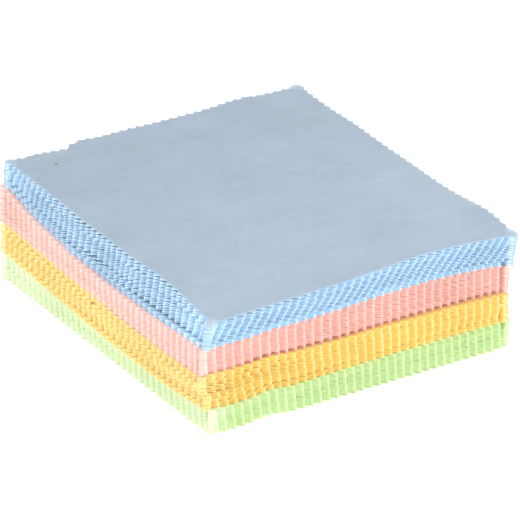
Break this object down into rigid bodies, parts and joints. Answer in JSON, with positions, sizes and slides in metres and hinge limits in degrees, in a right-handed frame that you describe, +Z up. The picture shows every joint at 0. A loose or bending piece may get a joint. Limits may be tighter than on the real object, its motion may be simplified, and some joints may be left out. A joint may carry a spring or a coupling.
{
  "type": "stack of lens cleaning cloths",
  "caption": "Free-standing pile of loose, nearly square microfibre lens cloths with pinked edges, stacked in blue, pink, orange and green sets.",
  "frame": {"origin": "middle of the pile's footprint, on the surface that it lies on", "axes": "+Z up through the pile; +X and +Y along the sides of the cloths, with the corner nearest the usual view at -X, -Y"},
  "size_m": [0.1336, 0.1364, 0.0459],
  "materials": {
    "green_microfibre": "matte suede nap",
    "orange_microfibre": "matte suede nap",
    "pink_microfibre": "matte suede nap",
    "blue_microfibre": "matte suede nap"
  },
  "bodies": {
    "green_set": {"green_cloths_01_02": "green_microfibre", "green_cloths_03_04": "green_microfibre", "green_cloths_05_06": "green_microfibre", "green_cloths_07_08": "green_microfibre", "green_cloths_09_10": "green_microfibre", "green_cloths_11_12": "green_microfibre", "green_cloths_13_14": "green_microfibre", "green_cloths_15_16": "green_microfibre", "green_cloths_17_18": "green_microfibre", "green_cloths_19_20": "green_microfibre", "green_cloths_21_22": "green_microfibre", "green_cloths_23_24": "green_microfibre", "green_cloth_25": "green_microfibre"},
    "orange_set": {"orange_cloths_01_02": "orange_microfibre", "orange_cloths_03_04": "orange_microfibre", "orange_cloths_05_06": "orange_microfibre", "orange_cloths_07_08": "orange_microfibre", "orange_cloths_09_10": "orange_microfibre", "orange_cloths_11_12": "orange_microfibre", "orange_cloths_13_14": "orange_microfibre", "orange_cloths_15_16": "orange_microfibre", "orange_cloths_17_18": "orange_microfibre", "orange_cloths_19_20": "orange_microfibre", "orange_cloths_21_22": "orange_microfibre", "orange_cloths_23_24": "orange_microfibre", "orange_cloth_25": "orange_microfibre"},
    "pink_set": {"pink_cloths_01_02": "pink_microfibre", "pink_cloths_03_04": "pink_microfibre", "pink_cloths_05_06": "pink_microfibre", "pink_cloths_07_08": "pink_microfibre", "pink_cloths_09_10": "pink_microfibre", "pink_cloths_11_12": "pink_microfibre", "pink_cloths_13_14": "pink_microfibre", "pink_cloths_15_16": "pink_microfibre", "pink_cloths_17_18": "pink_microfibre", "pink_cloths_19_20": "pink_microfibre", "pink_cloths_21_22": "pink_microfibre", "pink_cloths_23_24": "pink_microfibre", "pink_cloth_25": "pink_microfibre"},
    "blue_set": {"blue_cloths_01_02": "blue_microfibre", "blue_cloths_03_04": "blue_microfibre", "blue_cloths_05_06": "blue_microfibre", "blue_cloths_07_08": "blue_microfibre", "blue_cloths_09_10": "blue_microfibre", "blue_cloths_11_12": "blue_microfibre", "blue_cloths_13_14": "blue_microfibre", "blue_cloths_15_16": "blue_microfibre", "blue_cloths_17_18": "blue_microfibre", "blue_cloths_19_20": "blue_microfibre", "blue_cloths_21_22": "blue_microfibre", "blue_cloths_23_24": "blue_microfibre"},
    "top_cloth": {"blue_cloth_25": "blue_microfibre"}
  },
  "joints": [
    {"name": "orange_set_lift", "type": "slide", "parent": "green_set", "child": "orange_set", "axis": [0, 0, 1], "range_m": [0, 0.06]},
    {"name": "pink_set_lift", "type": "slide", "parent": "orange_set", "child": "pink_set", "axis": [0, 0, 1], "range_m": [0, 0.06]},
    {"name": "blue_set_lift", "type": "slide", "parent": "pink_set", "child": "blue_set", "axis": [0, 0, 1], "range_m": [0, 0.06]},
    {"name": "top_cloth_lift", "type": "slide", "parent": "blue_set", "child": "top_cloth", "axis": [0, 0, 1], "range_m": [0, 0.06]}
  ]
}
